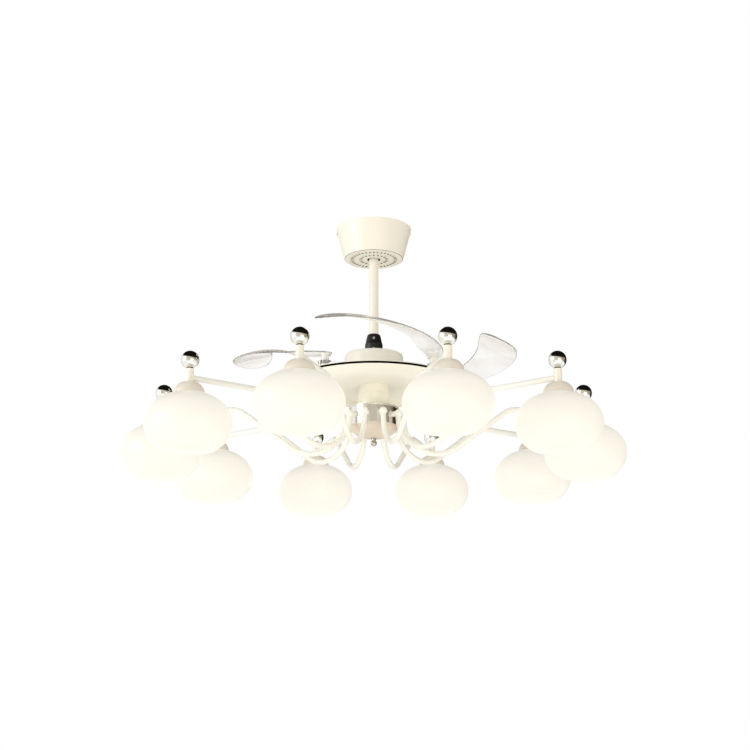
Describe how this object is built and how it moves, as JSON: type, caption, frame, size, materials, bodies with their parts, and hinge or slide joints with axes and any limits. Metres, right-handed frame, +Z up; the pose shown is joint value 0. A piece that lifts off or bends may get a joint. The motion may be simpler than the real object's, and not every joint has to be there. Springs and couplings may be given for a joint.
{
  "type": "retractable blade ceiling fan light",
  "caption": "Ceiling fan with clear crescent blades that swing out of a round tray, over a ring of opal globe lamps on swan-neck arms, hung on a short downrod from a cone canopy.",
  "frame": {"origin": "centre of the canopy's footprint on the ceiling, on the fan's vertical axis", "axes": "+Z up, out of the ceiling face; +X along the widest line of the lamp ring; the view of the picture is from -Y, midway between the first and the tenth lamp"},
  "size_m": [1.1218, 1.0758, 0.579],
  "materials": {
    "ivory_paint": "gloss",
    "chrome": "mirror",
    "stainless": "polished",
    "zinc": "satin",
    "core_steel": "matte",
    "bearing_steel": "polished",
    "spring_steel": "satin",
    "magnet": "matte",
    "copper": "enamelled wire",
    "black_paint": "matte",
    "black_rubber": "matte",
    "black_nylon": "matte",
    "white_nylon": "matte",
    "white_plastic": "satin",
    "clear_acrylic": "clear, polished edges",
    "opal_glass": "opal, lit from inside",
    "bulb_glass": "frosted, lit"
  },
  "bodies": {
    "ceiling": {"hanger_bracket": "zinc", "canopy": "ivory_paint", "canopy_screws": "ivory_paint", "receiver_box": "white_plastic"},
    "fixture": {"hanger_ball": "black_nylon", "downrod": "ivory_paint", "coupling_yoke": "black_paint", "cross_pins": "zinc", "motor_shaft": "zinc", "stator_core": "core_steel", "coil_windings": "copper", "lower_dish": "ivory_paint", "column": "ivory_paint", "collar": "ivory_paint", "hub_cylinder": "stainless", "arm_elbows": "ivory_paint", "bottom_dome": "ivory_paint", "bottom_finial": "chrome", "arm_01": "ivory_paint", "arm_02": "ivory_paint", "arm_03": "ivory_paint", "arm_04": "ivory_paint", "arm_05": "ivory_paint", "arm_06": "ivory_paint", "arm_07": "ivory_paint", "arm_08": "ivory_paint", "arm_09": "ivory_paint", "arm_10": "ivory_paint", "shade_01": "opal_glass", "shade_02": "opal_glass", "shade_03": "opal_glass", "shade_04": "opal_glass", "shade_05": "opal_glass", "shade_06": "opal_glass", "shade_07": "opal_glass", "shade_08": "opal_glass", "shade_09": "opal_glass", "shade_10": "opal_glass", "lamp_posts": "ivory_paint", "ball_finials": "chrome", "neck_rings": "black_rubber", "socket_covers": "ivory_paint", "lampholders": "white_plastic", "bulbs": "bulb_glass"},
    "rotor": {"motor_shell": "ivory_paint", "magnet_ring": "magnet", "motor_bearings": "bearing_steel", "blade_tray": "ivory_paint", "edge_trim": "black_rubber", "pivot_bolts": "zinc", "return_springs": "spring_steel"},
    "sync": {"sync_ring": "white_nylon"},
    "blade_assembly_1": {"blade_1": "clear_acrylic", "blade_carrier_1": "white_nylon"},
    "blade_assembly_2": {"blade_2": "clear_acrylic", "blade_carrier_2": "white_nylon"},
    "blade_assembly_3": {"blade_3": "clear_acrylic", "blade_carrier_3": "white_nylon"},
    "blade_assembly_4": {"blade_4": "clear_acrylic", "blade_carrier_4": "white_nylon"}
  },
  "joints": [
    {"name": "hanger_tilt", "type": "hinge", "parent": "ceiling", "child": "fixture", "pos_m": [0, 0, -0.043], "axis": [1, 0, 0], "range_deg": [-5, 5]},
    {"name": "rotor_spin", "type": "hinge", "parent": "fixture", "child": "rotor", "pos_m": [0, 0, -0.34], "axis": [0, 0, 1], "continuous": true},
    {"name": "blade_1_swing", "type": "hinge", "parent": "rotor", "child": "blade_assembly_1", "pos_m": [0.13056, -0.10573, -0.335], "axis": [0, 0, 1], "range_deg": [-43, 69]},
    {"name": "blade_2_swing", "type": "hinge", "parent": "rotor", "child": "blade_assembly_2", "pos_m": [-0.10573, -0.13056, -0.335], "axis": [0, 0, 1], "range_deg": [-43, 69]},
    {"name": "blade_3_swing", "type": "hinge", "parent": "rotor", "child": "blade_assembly_3", "pos_m": [-0.13056, 0.10573, -0.335], "axis": [0, 0, 1], "range_deg": [-43, 69]},
    {"name": "blade_4_swing", "type": "hinge", "parent": "rotor", "child": "blade_assembly_4", "pos_m": [0.10573, 0.13056, -0.335], "axis": [0, 0, 1], "range_deg": [-43, 69]},
    {"name": "sync_turn", "type": "hinge", "parent": "rotor", "child": "sync", "pos_m": [0, 0, -0.36], "axis": [0, 0, 1], "range_deg": [-17, 11]}
  ],
  "couplings": [
    {"joint": "blade_2_swing", "follows": "blade_1_swing", "ratio": 1},
    {"joint": "blade_3_swing", "follows": "blade_1_swing", "ratio": 1},
    {"joint": "blade_4_swing", "follows": "blade_1_swing", "ratio": 1},
    {"joint": "sync_turn", "follows": "blade_1_swing", "ratio": -0.23529}
  ]
}
